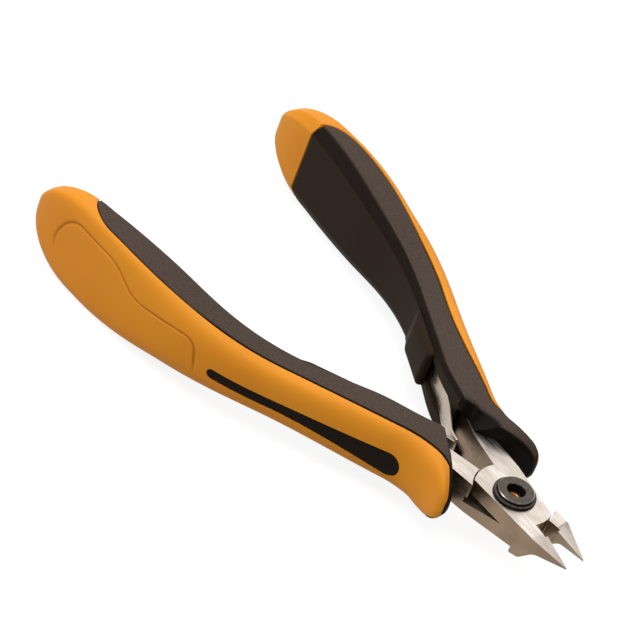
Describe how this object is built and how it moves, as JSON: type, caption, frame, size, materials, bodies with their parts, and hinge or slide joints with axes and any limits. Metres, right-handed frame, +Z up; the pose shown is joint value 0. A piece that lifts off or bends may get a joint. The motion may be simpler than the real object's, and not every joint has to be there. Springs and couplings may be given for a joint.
{
  "type": "diagonal cutting pliers",
  "caption": "Small diagonal cutting pliers with a screwed lap joint, slim pointed jaws, return leaf springs and curved two-colour grips with flared finger guards.",
  "frame": {"origin": "centre of the tool's box, on the surface it lies on", "axes": "+X along the tool towards the jaws, +Y towards grip B, +Z up along the pivot axis"},
  "size_m": [0.1268, 0.0724, 0.0207],
  "materials": {
    "steel": "fine ground satin steel, warm brown-grey on the unground side walls",
    "spring_steel": "bright rolled spring steel",
    "black_steel": "black oxide, worn grey on the ring's top",
    "brass": "plain brass",
    "dark_grip": "dark warm-grey soft grip, fine matte texture",
    "yellow_grip": "yellow-orange moulded grip, smooth satin"
  },
  "bodies": {
    "half_a": {"lever_a": "steel", "grip_core_a": "dark_grip", "outer_shell_a": "yellow_grip", "leaf_spring_a": "spring_steel", "spring_clip_a": "dark_grip", "pivot_screw": "black_steel", "pivot_washer": "black_steel", "pivot_nut": "black_steel", "pivot_sleeve": "brass"},
    "half_b": {"lever_b": "steel", "grip_core_b": "dark_grip", "outer_shell_b": "yellow_grip", "leaf_spring_b": "spring_steel", "spring_clip_b": "dark_grip"}
  },
  "joints": [
    {"name": "pivot", "type": "hinge", "parent": "half_a", "child": "half_b", "pos_m": [0.04494, 0, 0.01035], "axis": [0, 0, 1], "range_deg": [-5, 13.5], "stiffness_Nm_per_rad": 1.7, "deforming": ["leaf_spring_a", "leaf_spring_b"]}
  ]
}
